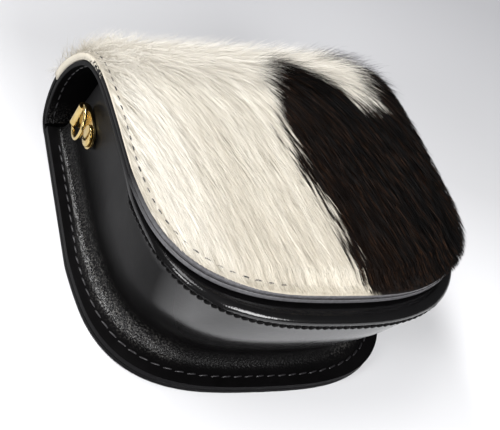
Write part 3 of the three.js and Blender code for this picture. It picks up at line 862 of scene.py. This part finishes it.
# Inside the locks it sticks together in short tufts, each of one colour
tuftWidth, tuftLength = hair["tuft"]
tuftRow = ((rootLine - rootLine.min()) / tuftWidth).astype(int)
tuftSlip = dice.uniform(0, tuftLength, tuftRow.max() + 1)[tuftRow]
tuftPlace = tuftRow, ((rootD + tuftSlip) / tuftLength).astype(int)
tuftGrid = tuftPlace[0].max() + 1, tuftPlace[1].max() + 1
tuftShift = dice.normal(0, patch["tuftShift"], tuftGrid)[tuftPlace]
tuftReach = dice.uniform(*hair["tuftReach"], tuftGrid)[tuftPlace]
toTuft = rootLine.min() + (tuftRow + 0.5) * tuftWidth - rootLine

# Part of the hair stands loose along the crest, and a fringe falls over its back edge
fluff = (rootD > fluffy["from"]) & (dice.uniform(0, 1, count) < fluffy["share"])
sway = np.interp(rootD, *combChart.T) * (1 + hair["lockTurn"] * lockSway) + lockSway
sway += dice.normal(0, hair["sway"], count)
lean = np.where(rootX < fluffy["leftEnd"], fluffy["leanLeft"], fluffy["lean"])  # both ways only at the left end
sway = np.where(fluff, sway * (lean + (fluffy["leanMost"] - lean) * dice.uniform(0, 1, count)), sway)
fringe = rootD > hideLine["top"] - fluffy["fringe"]
fringe &= dice.uniform(0, 1, count) < fluffy["fringeShare"]
ahead = np.where(fringe, fluffy["fringeAhead"], -1.0)
turned = np.sqrt(ahead ** 2 + sway ** 2)
length = dice.uniform(*hair["length"], count) * np.clip(margin / hair["fullFrom"], hair["leastShare"], 1)
rise = dice.uniform(*hair["rise"], count) + lockRise
low, high = fluffy["rise"]
rise = np.where(fluff, low + (high - low) * dice.uniform(0, 1, count) ** fluffy["lowest"], rise)
length = np.where(fluff, dice.uniform(*fluffy["length"], count), length)
stray = dice.uniform(0, 1, count) < hair["strayShare"]
rise += np.where(stray, dice.uniform(*hair["strayRise"], count), 0)
rise = np.radians(np.clip(rise, *hair["riseLimits"]))

# Strands are trimmed along the left side and the hem, and hang over the right side a little
loose = ((rootX > trimming["looseX"]) & (rootD < trimming["looseD"])) | (fluff & (rootX < 0))
tight, slack = trimming["overhang"]
spare = np.where(loose, slack, tight) + dice.uniform(0, trimming["uneven"], count)
for cut in range(trimming["cuts"]):
    tipX = rootX + length * np.cos(rise) * sway / turned
    tipD = rootD + length * np.cos(rise) * ahead / turned
    over = (np.abs(tipX) > np.interp(tipD, rightRim[:, 1], rightRim[:, 0]) + spare) | (tipD < -spare)
    length = np.where(over, length * trimming["cut"], length)
length = np.maximum(length, hair["shortest"])

# Each strand has a root, two bends and a tip, and lies over the stitches at the hem and the right side
overHem = ramp(rootD, *trimming["hemD"]) * ramp(rootX, *trimming["hemX"])
overRight = ramp(rootX, *trimming["rightX"]) * ramp(margin, *trimming["nearRim"])
cover = trimming["cover"] * np.maximum(overHem, overRight)
sunk = hair["root"] * np.clip(margin / trimming["rootFrom"], trimming["rootLeast"], 1)
spine = []
for stop in hair["stops"]:
    run = length * np.cos(rise) * stop / turned
    x = rootX + run * sway + (toLock * hair["clump"] + toTuft * hair["tuftClump"]) * stop ** 2
    distance = rootD + run * ahead
    base = pileLift(distance, fromEdge(x, distance)) - sunk
    base += cover + hair["ridge"] * (band - 0.5) * ramp(margin, *hair["ridgeFrom"])
    spine.append(wrapped(x, distance, base + length * np.sin(rise) * stop * (1 - hair["bow"] * stop))[0])
normal = wrapped(rootX, rootD, 0)[1]
heading = spine[3] - spine[0]
heading /= np.linalg.norm(heading, axis=1, keepdims=True)
roll = dice.uniform(-hair["roll"], hair["roll"], count)[:, None]
blade = np.cross(heading, normal) * np.cos(roll) + normal * np.sin(roll)
width = dice.uniform(*hair["width"], count) * np.where(fluff, fluffy["width"], 1)
wide = width[:, None] * blade / 2
rails = [spine[i] + side * share * wide for i, share in enumerate(hair["taper"]) for side in (-1, 1)]
verts = np.stack(rails + [spine[-1]], axis=1)
template = np.array([(0, 1, 3), (0, 3, 2), (2, 3, 5), (2, 5, 4), (4, 5, 6)])

# A strand takes the tint of a place along it, so that the patches' edges interlock
jitter = shading["seenJitter"]
reachOut = (tuftReach + dice.uniform(-jitter, jitter, count)) * length / turned
seenX = rootX + sway * reachOut + toLock * shading["seenLock"] + lockShift + tuftShift
seenX += dice.normal(0, patch["ragged"], count)
seenD = rootD + ahead * reachOut
ownSpread, lockSpread, valleyShadeSpread = shading["spread"]
# Painted shade: in the valleys between the combed bands' ridges the hair is painted creamier and darker
spread = dice.uniform(0, 1, count) ** 2 * ownSpread + lockTone * lockSpread + (1 - band) * valleyShadeSpread
tone = tintAt(seenX, seenD, spread)
tone *= (1 - shading["lockShade"] * lockTone - shading["bandShade"] * (1 - band))[:, None]
fawn = (dice.uniform(0, 1, count) < shading["fawnShare"]) & darkness(seenX, seenD)
keep, added = shading["fawnMix"]
tone[fawn] = tone[fawn] * keep + np.array(linear(tints["fawn"])[:3]) * added
shade = 1 - np.array(shading["fromRoot"])
shaded = 1 - shading["crestLess"] * ramp(rootD, *shading["towardsCrest"])  # light gets through the loose hair
colours = tone[:, None] * (1 - shade[None] * shaded[:, None])[:, :, None]

order = np.argsort(rootX)
for number, part in enumerate(np.array_split(order, hair["pieces"])):
    faces = (template[None] + (np.arange(len(part)) * verts.shape[1])[:, None, None]).reshape(-1, 3)
    piece = meshFrom(f"cowHair{number + 1}", verts[part].reshape(-1, 3), faces, hairCoat)
    paintTint(piece, np.clip(colours[part].reshape(-1, 3), 0, 1))
    place(piece, "bag", "cowhide")
print("hide is combed")
